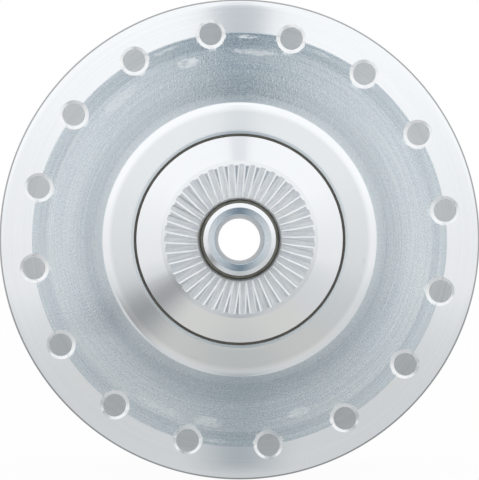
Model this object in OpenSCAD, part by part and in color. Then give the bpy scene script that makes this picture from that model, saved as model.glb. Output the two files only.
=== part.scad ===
// Bicycle hub dynamo: a claw-pole generator inside a front hub for a quick-release fork.
// The axle lies along Y, its plain left end points to -Y, and Z is up. Lengths are millimetres.

/* [Axle] */
// Width between the two clamp faces, as the fork takes it
over_locknut = 100; // [98:0.5:112]
// Length of each axle tip outside its clamp face
tip_len = 4.5; // [3:0.1:6]
// Diameter of the tips, which sit in the fork ends
tip_d = 9; // [8.4:0.1:9.4]
// Bevel on the end of each tip
tip_bevel = 0.55; // [0.2:0.05:0.8]
// Depth of the relief at the foot of each tip
tip_relief = 0.2; // [0.18:0.01:0.3]
// Length of the relief outside the clamp face
relief_len = 0.1; // [0.1:0.05:0.3]
// Bore right through the axle, for the skewer
axle_bore_d = 6.2; // [5.4:0.1:6.4]
// Bevel at each mouth of the bore
bore_bevel = 0.15; // [0.05:0.05:0.3]
// Stem that carries an end cap
stem_d = 10; // [9.8:0.1:10.6]
// How far the stem stops short of the clamp face
stem_recess = 1; // [0.7:0.1:1.5]
// Middle of the axle, which carries the stator
axle_mid_d = 14; // [13.2:0.1:15]
// Metal left between the bore and the floor of the lead slot
slot_wall = 1.45; // [1.2:0.05:1.5]

/* [Bearings] */
// Bore of the two ball bearings
bearing_bore = 12; // [11.8:0.1:12.6]
// Outer diameter of the bearings
bearing_od = 28; // [27:0.1:29]
// Width of the bearings
bearing_w = 8; // [7.6:0.1:9]
// Diameter of a ball
ball_d = 4.76; // [4.4:0.02:4.8]
// Balls in each bearing
ball_count = 8; // [6:1:9]
// Wall of the ball cage
cage_wall = 1.9; // [1.4:0.1:2.2]
// Thickness of a bearing shield
shield_t = 0.5; // [0.3:0.05:0.6]

/* [End caps] */
// Outer diameter of the grooved clamp face
clamp_face_d = 18.5; // [17.5:0.1:20]
// Bevel round the clamp face
clamp_bevel = 0.6; // [0.3:0.05:0.8]
// Slope of the polished cone, in degrees
cap_slope = 18; // [12:1:22]
// Thickness of the left cap, from clamp face to back
cap_web = 2.4; // [2.2:0.1:3]
// Extra depth of the right cap, which holds the terminals
terminal_room = 5.6; // [5.2:0.1:6.4]
// How far a cap enters the mouth of the shell
rim_entry = 0.5; // [0.2:0.05:0.8]
// Grooves in each clamp face
groove_count = 43; // [30:1:52]
// Width of the floor of a groove
groove_w = 0.56; // [0.4:0.02:0.7]
// Depth of a groove
groove_depth = 0.16; // [0.08:0.02:0.4]
// Sideways run of each flank of a groove
groove_flank = 0.2; // [0.1:0.02:0.3]
// Sideways set of each groove from a true radius
groove_set = 0.5; // [0:0.05:0.7]
// Turn of the first groove, in degrees
groove_turn = 1.25; // [0:0.25:8]

/* [Shell] */
// Outer diameter of the barrel
barrel_d = 46; // [45:0.1:46.4]
// Wall of the barrel round the rotor, as a share of its radius
barrel_share = 0.096; // [0.08:0.002:0.11]
// Metal round each bearing
seat_wall = 3.25; // [2.8:0.05:3.6]
// How far the mouth of the shell covers the bearing
lip_cover = 0.75; // [0.4:0.05:0.9]
// Slope of the polished shoulder, in degrees
nose_slope = 18; // [12:1:24]
// Rounding between the shoulder and the wall of the boss
nose_round = 1.2; // [0.8:0.1:1.5]
// Widening of the boss towards its foot, in degrees
boss_draft = 5; // [2:0.5:8]
// Rounding at the foot of the boss
foot_round = 0.5; // [0.3:0.1:1.5]
// Least metal behind that rounding
foot_wall = 2.2; // [1.6:0.1:2.8]
// Fall of the turned face from the boss to the band, in degrees
face_fall = 4; // [1:0.5:6]
// Width of the flat land round the mouth of the shell
mouth_land = 0.35; // [0.15:0.05:0.5]
// Length of the left barrel stub that belongs to the cover
stub_len = 2.9; // [2.4:0.1:4]
// Bevel on both sides of the joint between barrel and cover
joint_bevel = 0.15; // [0.05:0.05:0.25]
// Wall of the spigot that centres the cover, as a share of the barrel's radius
spigot_share = 0.086; // [0.07:0.002:0.1]
// Thickness of the sealing ring on the spigot
oring_d = 1; // [0.8:0.05:1.2]

/* [Flanges] */
// Outer diameter of the flanges
flange_d = 62.4; // [61:0.1:66]
// Distance between the middles of the flanges
flange_spacing = 54; // [52:0.2:58]
// Thickness of a flange at its ring
flange_t = 3.2; // [2.8:0.1:3.6]
// Depth of the turned band inside the ring
band_step = 0.15; // [0.1:0.05:0.3]
// Diameter at which the turned face runs into the band
band_d = 50; // [49:0.1:51]
// Diameter at which the band meets the ring
ring_d = 53.5; // [53:0.1:54.2]
// Fall of the ring towards its edge, in degrees
ring_slope = 12; // [6:0.5:16]
// Rounding of the flange edge on its outer side
rim_round = 1.05; // [0.7:0.05:1.2]
// Rounding of the flange edge on the side of the spokes
back_round = 0.3; // [0.2:0.05:0.6]
// Rounding between flange and barrel
root_round = 2; // [1.2:0.1:2.1]
// Circle on which the spoke holes lie
spoke_circle_d = 54; // [53.4:0.1:55]
// Diameter of a spoke hole
spoke_hole_d = 2.9; // [2.4:0.05:3]
// Width of the bevel round a spoke hole, where the ring is lowest
spoke_bevel = 0.35; // [0.2:0.05:0.55]
// Spoke holes in each flange
spoke_count = 16; // [14:1:18]
// Turn of the first spoke hole, in degrees
spoke_turn = 8; // [0:0.25:22]

/* [Generator] */
// Pairs of poles
pole_pairs = 13; // [10:1:15]
// Thickness of the steel ring behind the magnets, as a share of the barrel's radius
yoke_share = 0.07; // [0.056:0.002:0.078]
// Length of the steel ring
yoke_len = 28; // [26.5:0.5:30]
// Thickness of the magnets, as a share of the barrel's radius
magnet_share = 0.1; // [0.08:0.002:0.11]
// Length of the magnets
magnet_len = 26; // [22:0.5:26]
// Gap between two magnets, in degrees
magnet_gap = 0.8; // [0.4:0.1:1.5]
// Air gap between magnets and claws
air_gap = 0.4; // [0.3:0.05:0.6]
// Thickness of the claws, as a share of the barrel's radius
claw_share = 0.086; // [0.066:0.002:0.096]
// Length of the stator over both claw plates
stator_len = 26; // [24:0.5:28]
// Thickness of a claw plate
plate_t = 2; // [1.5:0.1:2.4]
// Width of a claw at its root, as a share of the pole pitch
claw_root = 1.1; // [0.9:0.02:1.2]
// Width of a claw at its tip, as a share of the pole pitch
claw_tip = 0.5; // [0.3:0.02:0.6]
// Space between a claw tip and the other plate
claw_space = 1.5; // [1:0.1:2.5]
// Wall of the sleeve inside the coil, as a share of the barrel's radius
core_share = 0.086; // [0.066:0.002:0.104]
// Wall of the bobbin tube, as a share of the barrel's radius
tube_share = 0.034; // [0.026:0.002:0.052]
// Thickness of the bobbin cheeks
cheek_t = 1; // [0.8:0.1:1.4]
// How far the winding stays below the edge of the cheeks, as a share of the barrel's radius
cheek_share = 0.026; // [0.014:0.002:0.05]
// Thickness of the snap rings beside the stator
clip_t = 1; // [0.8:0.1:1.2]
// Depth of the grooves that hold them
clip_depth = 0.6; // [0.4:0.05:0.8]
// How far they stand out of the axle
clip_stand = 1.8; // [1.2:0.1:2]

/* [Terminals] */
// Width of a blade
blade_w = 4.8; // [4.4:0.1:5]
// Thickness of a blade
blade_t = 0.8; // [0.5:0.1:1]
// Free length of a blade
blade_len = 6.5; // [5:0.1:8]
// Distance between the middles of the two blades
blade_pitch = 7.2; // [6.4:0.1:7.6]
// Width of the insulating block
block_w = 15; // [14.6:0.1:16]
// Thickness of the block
block_t = 4.2; // [3.2:0.1:4.4]
// Distance of the bottom of the block from the axle line
block_base = 9; // [8.7:0.1:9.4]
// Distance of the top of the block from the axle line
block_top = 16; // [14.5:0.1:17]
// Height of the rib between the blades
rib_len = 2.4; // [1:0.1:4]
// Diameter of a coil lead
lead_d = 0.95; // [0.8:0.05:1]

/* [Clearances] */
// Between parts that turn past each other
running_gap = 0.4; // [0.3:0.05:0.6]
// Between a cap and the mouth of the shell
seam_gap = 0.35; // [0.3:0.05:0.8]
// Between a seal or shield and the part that it wipes
wipe_gap = 0.12; // [0.08:0.02:0.2]
// Between a ball and its races
ball_play = 0.06; // [0.04:0.01:0.1]
// Between a ball and its cage
cage_play = 0.12; // [0.08:0.02:0.2]
// Between parts that are pushed together by hand
slip_fit = 0.02; // [0.01:0.01:0.04]
// Thickness of the lip seals
seal_t = 1.8; // [1.4:0.1:2.2]

/* [Hidden] */

$fn = 96;
over = 1;

// Places along the axle, counted from the middle of the hub outwards. Side 0 is left, side 1 right.
clamp_z = over_locknut / 2;
tip_z = clamp_z + tip_len;
function cap_back(s) = clamp_z - cap_web - s * terminal_room;
function nose_z(s) = cap_back(s) + rim_entry;
function seal_top(s) = cap_back(s) - running_gap;
function bearing_top(s) = seal_top(s) - seal_t - running_gap;
function bearing_end(s) = bearing_top(s) - bearing_w;
function bearing_mid(s) = bearing_top(s) - bearing_w / 2;

// Radii of the axle and the bearings
bore_r = axle_bore_d / 2;
tip_r = tip_d / 2;
neck_r = tip_r - tip_relief;
stem_r = stem_d / 2;
mid_r = axle_mid_d / 2;
seat_r = bearing_bore / 2;
bearing_r = bearing_od / 2;
pitch_r = (seat_r + bearing_r) / 2;
ball_r = ball_d / 2;
inner_land = pitch_r - 0.3 * ball_d;
outer_land = pitch_r + 0.3 * ball_d;
rebate_r = outer_land + 0.6;
rebate_z = shield_t + 0.2;

// Radii of the caps and the mouth of the shell
hub_r = inner_land - 0.3;
mouth_r = bearing_r - lip_cover;
rim_r = mouth_r - seam_gap;
clamp_r = clamp_face_d / 2;
rim_z = clamp_z - clamp_bevel - (rim_r - clamp_r - clamp_bevel) * tan(cap_slope);
wipe_r = hub_r + wipe_gap;

// Shell and flanges
boss_r = bearing_r + seat_wall;
barrel_r = barrel_d / 2;
rotor_r = barrel_r * (1 - barrel_share);
spigot_r = rotor_r - spigot_share * barrel_r;
face_z = flange_spacing / 2 + flange_t / 2;
back_z = flange_spacing / 2 - flange_t / 2;
band_z = face_z - band_step;
band_r = band_d / 2;
ring_r = ring_d / 2;
flange_r = flange_d / 2;
ring_foot = ring_r + band_step;
ring_fall = (flange_r - ring_foot) * tan(ring_slope);
rim_most = (flange_t - ring_fall - back_round) * cos(ring_slope) / (1 - sin(ring_slope));
rim_q = min(rim_round, 0.95 * rim_most);
joint_z = back_z - stub_len;
hole_r = spoke_hole_d / 2;
spoke_r = spoke_circle_d / 2;
sink_z = face_z - (spoke_r + hole_r - ring_foot) * tan(ring_slope);
spoke_pitch = 360 / spoke_count;
edge_r = mouth_r + mouth_land;

// Middle of the rounding at the foot of a boss, found from the wall of the boss and the turned face
wall_r = boss_r - nose_round * (1 - cos(boss_draft));
foot_b = foot_round + sin(face_fall) * band_r + cos(face_fall) * band_z;
function nose_drop() = (nose_round + (boss_r - nose_round - edge_r) * sin(nose_slope)) / cos(nose_slope);
function wall_z(s) = nose_z(s) - nose_drop() + nose_round * sin(boss_draft);
function foot_a(s) = foot_round + cos(boss_draft) * wall_r + sin(boss_draft) * wall_z(s);
function foot_r(s) = (foot_a(s) * cos(face_fall) - foot_b * sin(boss_draft)) / cos(boss_draft + face_fall);
function foot_z(s) = (foot_b * cos(boss_draft) - foot_a(s) * sin(face_fall)) / cos(boss_draft + face_fall);

// Where the cone inside the shell starts, so that it leaves the least metal behind the foot of the boss
function foot_sum(s) = foot_r(s) + foot_z(s) - (foot_round + foot_wall) * sqrt(2);
function cone_z(s) = min(bearing_end(s) - 0.5, foot_sum(s) - bearing_r);

// Generator
yoke_z = yoke_len / 2;
yoke_r = rotor_r - yoke_share * barrel_r;
magnet_r = yoke_r - magnet_share * barrel_r;
stator_r = magnet_r - air_gap;
claw_t = claw_share * barrel_r;
claw_r = stator_r - claw_t;
stator_z = stator_len / 2;
plate_z = stator_z - plate_t;
pole_pitch = 180 / pole_pairs;
pole_w = (stator_r + claw_r) / 2 * PI / pole_pairs;
core_r = mid_r + core_share * barrel_r;
tube_r = core_r + tube_share * barrel_r;
cheek_r = claw_r - 0.3;
coil_r = cheek_r - cheek_share * barrel_r;
coil_z = plate_z - cheek_t;
oring_z = (joint_z + yoke_z) / 2;
oring_floor = rotor_r - oring_d - 2 * slip_fit;

// Leads and terminals
lead_r = lead_d / 2;
lead_x = lead_r + 0.15;
slot_w = 2 * (lead_x + lead_r + 0.1);
slot_floor = bore_r + slot_wall;
lead_low = slot_floor + 0.05 + lead_r;
lead_high = (tube_r + coil_r) / 2;
lead_bend = 1.2;
lead_down = stator_z + clip_t + 1.2;
block_z = nose_z(1) + running_gap;
lead_up = block_z + block_t / 2;
blade_foot = block_base + 1.5;
blade_end = block_top + blade_len;

// Colours
satin = [0.75, 0.77, 0.79];
bright = [0.87, 0.88, 0.9];
steel = [0.62, 0.64, 0.66];
dark_steel = [0.36, 0.38, 0.4];
rubber = [0.12, 0.12, 0.12];
copper = [0.72, 0.42, 0.22];
magnet_grey = [0.26, 0.27, 0.3];
plastic = [0.16, 0.16, 0.17];
cage_brown = [0.55, 0.42, 0.26];
brass = [0.8, 0.66, 0.36];

// Stands the turning axis along Y. On side 1 the drawing is mirrored, so that outwards is always +z.
module along_axle(s = 0) {
    rotate([90, 0, 0])
        mirror([0, 0, s])
            children();
}

module turned(s = 0) {
    along_axle(s)
        rotate_extrude()
            children();
}

module band(r0, r1, z0, z1) {
    translate([r0, z0])
        square([r1 - r0, z1 - z0]);
}

module axle() {
    color(steel)
        difference() {
            turned()
                polygon([
                    [bore_r + bore_bevel, tip_z], [tip_r - tip_bevel, tip_z],
                    [tip_r, tip_z - tip_bevel], [tip_r, clamp_z + relief_len],
                    [neck_r, clamp_z + relief_len], [neck_r, clamp_z - stem_recess],
                    [stem_r, clamp_z - stem_recess], [stem_r, bearing_top(0)],
                    [seat_r, bearing_top(0)], [seat_r, bearing_end(0)],
                    [mid_r, bearing_end(0)], [mid_r, stator_z + clip_t],
                    [mid_r - clip_depth, stator_z + clip_t], [mid_r - clip_depth, stator_z],
                    [mid_r, stator_z], [mid_r, -stator_z],
                    [mid_r - clip_depth, -stator_z], [mid_r - clip_depth, -stator_z - clip_t],
                    [mid_r, -stator_z - clip_t], [mid_r, -bearing_end(1)],
                    [seat_r, -bearing_end(1)], [seat_r, -bearing_top(1)],
                    [stem_r, -bearing_top(1)], [stem_r, stem_recess - clamp_z],
                    [neck_r, stem_recess - clamp_z], [neck_r, -clamp_z - relief_len],
                    [tip_r, -clamp_z - relief_len], [tip_r, tip_bevel - tip_z],
                    [tip_r - tip_bevel, -tip_z], [bore_r + bore_bevel, -tip_z],
                    [bore_r, bore_bevel - tip_z], [bore_r, tip_z - bore_bevel]
                ]);
            lead_slot(slot_floor, mid_r + over, lead_down - lead_r - 0.2);
        }
}

// Room for the two leads, from a place along the axle to just past the point where they rise.
module lead_slot(y0, y1, z0) {
    along_axle(1)
        translate([-slot_w / 2, y0, z0])
            cube([slot_w, y1 - y0, lead_up + lead_r + 0.2 - z0]);
}

module cap_section(s) {
    polygon([
        [stem_r, bearing_top(s)], [hub_r, bearing_top(s)], [hub_r, cap_back(s)],
        [rim_r, cap_back(s)], [rim_r, rim_z], [clamp_r + clamp_bevel, clamp_z - clamp_bevel],
        [clamp_r, clamp_z], [stem_r + 0.2, clamp_z], [stem_r, clamp_z - 0.2]
    ]);
}

// Straight grooves in the clamp face, set a little off the radius. The ridges between them narrow inwards.
module clamp_grooves() {
    r0 = stem_r + 0.35;
    w = groove_w / 2;
    top = w + 2 * groove_flank;
    for (k = [0 : groove_count - 1])
        rotate([0, 0, groove_turn + k * 360 / groove_count])
            translate([r0, groove_set, clamp_z - groove_depth])
                rotate([90, 0, 90])
                    linear_extrude(height = clamp_r - r0 + 2 * clamp_bevel)
                        polygon([[-w, 0], [w, 0], [top, 2 * groove_depth], [-top, 2 * groove_depth]]);
}

module left_end_cap() {
    color(bright)
        difference() {
            turned()
                cap_section(0);
            along_axle()
                clamp_grooves();
        }
}

module right_end_cap() {
    color(bright)
        difference() {
            turned(1)
                cap_section(1);
            along_axle(1)
                clamp_grooves();
            along_axle(1)
                translate([-block_w / 2, block_base, block_z])
                    cube([block_w, rim_r, block_t]);
            lead_slot(0, block_base + over, bearing_top(1) - over);
        }
}

module axle_ring(s) {
    d = stem_r - neck_r - 2 * slip_fit;
    color(rubber)
        turned(s)
            translate([(stem_r + neck_r) / 2, clamp_z - stem_recess + d / 2])
                circle(d = d);
}

module left_axle_ring() {
    axle_ring(0);
}

module right_axle_ring() {
    axle_ring(1);
}

module ball_race(s) {
    translate([pitch_r, bearing_mid(s)])
        circle(r = ball_r + ball_play);
}

module bearing_inner_ring(s) {
    color(steel)
        turned(s)
            difference() {
                band(seat_r, inner_land, bearing_end(s), bearing_top(s));
                ball_race(s);
            }
}

module left_bearing_inner_ring() {
    bearing_inner_ring(0);
}

module right_bearing_inner_ring() {
    bearing_inner_ring(1);
}

module bearing_outer_ring(s) {
    color(steel)
        turned(s)
            difference() {
                band(outer_land, bearing_r, bearing_end(s), bearing_top(s));
                ball_race(s);
                band(outer_land - over, rebate_r, bearing_top(s) - rebate_z, bearing_top(s) + over);
                band(outer_land - over, rebate_r, bearing_end(s) - over, bearing_end(s) + rebate_z);
            }
}

module left_bearing_outer_ring() {
    bearing_outer_ring(0);
}

module right_bearing_outer_ring() {
    bearing_outer_ring(1);
}

module bearing_shields(s) {
    z1 = bearing_top(s) - rebate_z;
    z0 = bearing_end(s) + rebate_z;
    color(rubber)
        turned(s) {
            band(inner_land + wipe_gap, rebate_r, z1, z1 + shield_t);
            band(inner_land + wipe_gap, rebate_r, z0 - shield_t, z0);
        }
}

module left_bearing_shields() {
    bearing_shields(0);
}

module right_bearing_shields() {
    bearing_shields(1);
}

module ball_set(s, r) {
    along_axle(s)
        for (k = [0 : ball_count - 1])
            rotate([0, 0, k * 360 / ball_count])
                translate([pitch_r, 0, bearing_mid(s)])
                    sphere(r = r);
}

module left_balls() {
    color(bright)
        ball_set(0, ball_r);
}

module right_balls() {
    color(bright)
        ball_set(1, ball_r);
}

// Crown cage: a ring on one side of the balls, with a pocket for each.
module ball_cage(s) {
    z = bearing_mid(s);
    w = cage_wall / 2;
    color(cage_brown)
        difference() {
            turned(s)
                band(pitch_r - w, pitch_r + w, z - 0.9, z + ball_r + cage_play + 0.3);
            ball_set(s, ball_r + cage_play);
        }
}

module left_ball_cage() {
    ball_cage(0);
}

module right_ball_cage() {
    ball_cage(1);
}

module lip_seal(s) {
    z1 = seal_top(s);
    z0 = z1 - seal_t;
    color(rubber)
        turned(s)
            polygon([
                [mouth_r, z0], [mouth_r, z1], [mouth_r - 1.2, z1], [mouth_r - 1.5, z0 + 0.7],
                [wipe_r + 1.1, z0 + 0.7], [wipe_r + 0.4, z1], [wipe_r, z1], [wipe_r + 0.5, z0]
            ]);
}

module left_lip_seal() {
    lip_seal(0);
}

module right_lip_seal() {
    lip_seal(1);
}

module stator_core() {
    color(dark_steel)
        turned()
            band(mid_r, core_r, -plate_z, plate_z);
}

// One claw seen from outside: wide at its plate, narrow at its tip.
module claws(s) {
    tip_at = claw_space - plate_z;
    root = claw_root * pole_w / 2;
    tip = claw_tip * pole_w / 2;
    intersection() {
        rotate_extrude()
            band(claw_r, stator_r, tip_at, stator_z);
        for (k = [0 : pole_pairs - 1])
            rotate([0, 0, (2 * k + s) * pole_pitch])
                translate([claw_r - 1, 0, 0])
                    rotate([90, 0, 90])
                        linear_extrude(height = claw_t + 2)
                            polygon([[-root, stator_z], [-tip, tip_at], [tip, tip_at], [root, stator_z]]);
    }
}

module claw_plate(s) {
    along_axle(s) {
        rotate_extrude()
            band(mid_r, claw_r + 0.6, plate_z, stator_z);
        claws(s);
    }
}

// Opening in the right plate and the right bobbin cheek, through which the leads pass.
module lead_window() {
    along_axle(1)
        translate([-slot_w / 2, lead_high - slot_w / 4, coil_z - over])
            cube([slot_w, slot_w / 2, plate_t + cheek_t + 2 * over]);
}

module left_claw_plate() {
    color(dark_steel)
        claw_plate(0);
}

module right_claw_plate() {
    color(dark_steel)
        difference() {
            claw_plate(1);
            lead_window();
        }
}

module coil_bobbin() {
    color(plastic)
        difference() {
            turned()
                polygon([
                    [core_r, -plate_z], [cheek_r, -plate_z], [cheek_r, -coil_z], [tube_r, -coil_z],
                    [tube_r, coil_z], [cheek_r, coil_z], [cheek_r, plate_z], [core_r, plate_z]
                ]);
            lead_window();
        }
}

module coil_winding() {
    color(copper)
        turned()
            band(tube_r, coil_r, -coil_z, coil_z);
}

module lead_elbow(x, y, z, turn) {
    translate([x, y, z])
        rotate([90, 0, 90])
            rotate([0, 0, turn])
                rotate_extrude(angle = 90)
                    translate([lead_bend, 0])
                        circle(r = lead_r);
}

module lead_along(x, y, z0, z1) {
    translate([x, y, z0])
        cylinder(h = z1 - z0, r = lead_r);
}

module lead_across(x, z, y0, y1) {
    translate([x, y0, z])
        rotate([-90, 0, 0])
            cylinder(h = y1 - y0, r = lead_r);
}

// A lead leaves the coil, goes down into the slot, along the axle and up to its blade.
module coil_leads() {
    b = lead_bend;
    color(copper)
        along_axle(1)
            for (x = [-lead_x, lead_x]) {
                lead_along(x, lead_high, coil_z, lead_down - b);
                lead_elbow(x, lead_high - b, lead_down - b, 0);
                lead_across(x, lead_down, lead_low + b, lead_high - b);
                lead_elbow(x, lead_low + b, lead_down + b, 180);
                lead_along(x, lead_low, lead_down + b, lead_up - b);
                lead_elbow(x, lead_low + b, lead_up - b, 90);
                lead_across(x, lead_up, lead_low + b, blade_foot);
            }
}

module stator_clip(s) {
    color(steel)
        along_axle(s)
            rotate([0, 0, 120])
                rotate_extrude(angle = 300)
                    band(mid_r - clip_depth, mid_r + clip_stand, stator_z, stator_z + clip_t);
}

module left_stator_clip() {
    stator_clip(0);
}

module right_stator_clip() {
    stator_clip(1);
}

// Blade on the +x side, with a foot that reaches in to its lead.
module blade_outline() {
    x0 = blade_pitch / 2 - blade_w / 2;
    x1 = blade_pitch / 2 + blade_w / 2;
    foot_x = lead_x - lead_r;
    polygon([
        [foot_x, blade_foot], [x1, blade_foot], [x1, blade_end - 0.9], [x1 - 0.9, blade_end],
        [x0 + 0.9, blade_end], [x0, blade_end - 0.9], [x0, blade_foot + 1.6], [foot_x, blade_foot + 1.6]
    ]);
}

module blade_pair() {
    along_axle(1)
        for (m = [0, 1])
            mirror([m, 0, 0])
                translate([0, 0, lead_up - blade_t / 2])
                    linear_extrude(height = blade_t)
                        children();
}

module terminal_blades() {
    color(brass)
        blade_pair()
            difference() {
                blade_outline();
                translate([blade_pitch / 2, blade_end - 2.8])
                    circle(d = 1.5);
            }
}

module terminal_block() {
    w = block_w / 2;
    color(plastic)
        difference() {
            along_axle(1)
                translate([0, 0, block_z])
                    linear_extrude(height = block_t)
                        polygon([
                            [-w, block_base], [w, block_base], [w, block_top - 1], [w - 1, block_top],
                            [0.6, block_top], [0.6, block_top + rib_len], [-0.6, block_top + rib_len],
                            [-0.6, block_top], [1 - w, block_top], [-w, block_top - 1]
                        ]);
            blade_pair()
                blade_outline();
            along_axle(1)
                for (x = [-lead_x, lead_x])
                    lead_across(x, lead_up, block_base - over, blade_foot + over / 2);
        }
}

// Boss with a sloping polished shoulder, rounded into its wall.
module boss_section(s) {
    zc = nose_z(s) - nose_drop();
    rc = boss_r - nose_round;
    polygon([
        [0, back_z], [boss_r, back_z], [wall_r, wall_z(s)],
        [rc + nose_round * sin(nose_slope), zc + nose_round * cos(nose_slope)],
        [edge_r, nose_z(s)], [0, nose_z(s)]
    ]);
    translate([rc, zc])
        circle(r = nose_round);
}

// Wall of the boss, rounded at its foot into a turned face that falls a little to the band.
module face_section(s) {
    rc = boss_r - nose_round;
    fr = foot_r(s);
    fz = foot_z(s);
    difference() {
        polygon([
            [rc, band_z - over], [band_r, band_z - over], [band_r, band_z],
            [fr - foot_round * sin(face_fall), fz - foot_round * cos(face_fall)], [fr, fz],
            [fr - foot_round * cos(boss_draft), fz - foot_round * sin(boss_draft)],
            [wall_r, wall_z(s)], [rc, wall_z(s)]
        ]);
        translate([fr, fz])
            circle(r = foot_round);
    }
}

// Flange with a turned band, a raised ring that falls to the edge, and a rounded edge.
module flange_section() {
    rc = flange_r - rim_q;
    rb = flange_r - back_round;
    zc = face_z - (rim_q + (rc - ring_foot) * sin(ring_slope)) / cos(ring_slope);
    polygon([
        [0, back_z], [rb, back_z], [flange_r, back_z + back_round], [flange_r, zc],
        [rc + rim_q * sin(ring_slope), zc + rim_q * cos(ring_slope)],
        [ring_foot, face_z], [ring_r, band_z], [0, band_z]
    ]);
    translate([rc, zc])
        circle(r = rim_q);
    translate([rb, back_z + back_round])
        circle(r = back_round);
}

// Rounding between the back of a flange and the barrel.
module root_section() {
    difference() {
        band(barrel_r - over, barrel_r + root_round, back_z - root_round, back_z + over);
        translate([barrel_r + root_round, back_z - root_round])
            circle(r = root_round);
    }
}

// Inside of the shell on one side: mouth, bearing seat and a cone that opens to the rotor room.
module inside_section(s, z0) {
    z1 = nose_z(s);
    z2 = cone_z(s);
    polygon([
        [-over, z1 + over], [mouth_r, z1 + over], [mouth_r, bearing_top(s)],
        [bearing_r, bearing_top(s)], [bearing_r, z2], [spigot_r, z2 - spigot_r + bearing_r],
        [spigot_r, z0], [-over, z0]
    ]);
}

module spoke_holes(s) {
    b = spoke_bevel + over;
    for (k = [0 : spoke_count - 1])
        rotate([0, 0, spoke_turn + (k + s / 2) * spoke_pitch])
            translate([spoke_r, 0, 0]) {
                translate([0, 0, back_z - over])
                    cylinder(h = flange_t + 2 * over, r = hole_r);
                translate([0, 0, sink_z - spoke_bevel])
                    cylinder(h = b, r1 = hole_r, r2 = hole_r + b);
                translate([0, 0, back_z - over])
                    cylinder(h = b, r1 = hole_r + b, r2 = hole_r);
            }
}

module hub_shell() {
    color(satin)
        along_axle(1)
            difference() {
                rotate_extrude()
                    difference() {
                        union() {
                            boss_section(1);
                            face_section(1);
                            flange_section();
                            root_section();
                            polygon([
                                [0, -joint_z], [barrel_r - joint_bevel, -joint_z],
                                [barrel_r, joint_bevel - joint_z], [barrel_r, back_z + over],
                                [0, back_z + over]
                            ]);
                        }
                        inside_section(1, yoke_z - over);
                        band(-over, rotor_r, -joint_z - over, yoke_z);
                    }
                spoke_holes(1);
            }
}

module shell_cover() {
    color(satin)
        along_axle()
            difference() {
                rotate_extrude()
                    difference() {
                        union() {
                            boss_section(0);
                            face_section(0);
                            flange_section();
                            root_section();
                            polygon([
                                [0, joint_z], [barrel_r - joint_bevel, joint_z],
                                [barrel_r, joint_z + joint_bevel], [barrel_r, back_z + over],
                                [0, back_z + over]
                            ]);
                            band(0, rotor_r - slip_fit, yoke_z, joint_z + over);
                        }
                        inside_section(0, yoke_z - over);
                        band(oring_floor, rotor_r + over, oring_z - 0.6 * oring_d, oring_z + 0.6 * oring_d);
                    }
                spoke_holes(0);
            }
}

module cover_o_ring() {
    color(rubber)
        turned()
            translate([rotor_r - slip_fit - oring_d / 2, oring_z])
                circle(d = oring_d);
}

module rotor_yoke() {
    color(dark_steel)
        turned()
            band(yoke_r, rotor_r, -yoke_z, yoke_z);
}

module rotor_magnets() {
    color(magnet_grey)
        along_axle()
            for (k = [0 : 2 * pole_pairs - 1])
                rotate([0, 0, k * pole_pitch])
                    rotate_extrude(angle = pole_pitch - magnet_gap)
                        band(magnet_r, yoke_r, -magnet_len / 2, magnet_len / 2);
}

axle();
left_end_cap();
right_end_cap();
left_axle_ring();
right_axle_ring();
left_bearing_inner_ring();
right_bearing_inner_ring();
stator_core();
left_claw_plate();
right_claw_plate();
coil_bobbin();
coil_winding();
coil_leads();
left_stator_clip();
right_stator_clip();
terminal_block();
terminal_blades();
hub_shell();
shell_cover();
cover_o_ring();
rotor_yoke();
rotor_magnets();
left_bearing_outer_ring();
right_bearing_outer_ring();
left_bearing_shields();
right_bearing_shields();
left_lip_seal();
right_lip_seal();
left_balls();
left_ball_cage();
right_balls();
right_ball_cage();
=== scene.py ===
import math
import bpy
import numpy as np
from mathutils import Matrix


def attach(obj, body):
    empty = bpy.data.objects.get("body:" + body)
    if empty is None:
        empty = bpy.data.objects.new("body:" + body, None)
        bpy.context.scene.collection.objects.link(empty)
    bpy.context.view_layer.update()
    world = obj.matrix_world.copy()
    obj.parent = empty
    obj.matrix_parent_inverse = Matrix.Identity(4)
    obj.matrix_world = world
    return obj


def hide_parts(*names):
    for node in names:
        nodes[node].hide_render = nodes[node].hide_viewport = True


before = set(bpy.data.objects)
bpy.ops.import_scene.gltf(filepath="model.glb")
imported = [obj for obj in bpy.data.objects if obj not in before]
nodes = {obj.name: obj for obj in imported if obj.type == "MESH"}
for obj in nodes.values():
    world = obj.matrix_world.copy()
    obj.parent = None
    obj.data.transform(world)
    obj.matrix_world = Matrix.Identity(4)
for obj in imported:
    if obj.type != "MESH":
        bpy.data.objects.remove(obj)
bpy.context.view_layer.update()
scene = bpy.context.scene
scene.view_settings.view_transform = "Standard"
mm = 0.001
print("frame loaded:", len(nodes), "nodes")


# profiles in the plane of radius and height, in mm; height is counted outwards along the axle

# part of a circle, from one angle to another in degrees
def arcRun(centreR, centreH, radius, start, end, steps):
    a = np.radians(np.linspace(start, end, steps + 1))
    return np.stack([centreR + radius * np.cos(a), centreH + radius * np.sin(a)], 1)


# straight run between two points
def lineRun(first, last, steps):
    t = np.linspace(0, 1, steps + 1)[:, None]
    return np.asarray(first, float) * (1 - t) + np.asarray(last, float) * t


# runs set end to end as one closed loop, with each repeated point dropped
def closedLoop(*runs):
    path = np.concatenate([np.asarray(run, float).reshape(-1, 2) for run in runs])
    return path[np.hypot(*(path - np.roll(path, 1, 0)).T) > 1e-4]


# a point at radius r and angle a: x = r cos a, z = r sin a, y = -h on the left side and +h on the right
def roundAxle(radius, height, angle, side):
    y = height if side == "right" else -height
    return np.stack(np.broadcast_arrays(radius * np.cos(angle), y, radius * np.sin(angle)), -1) * mm


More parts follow.
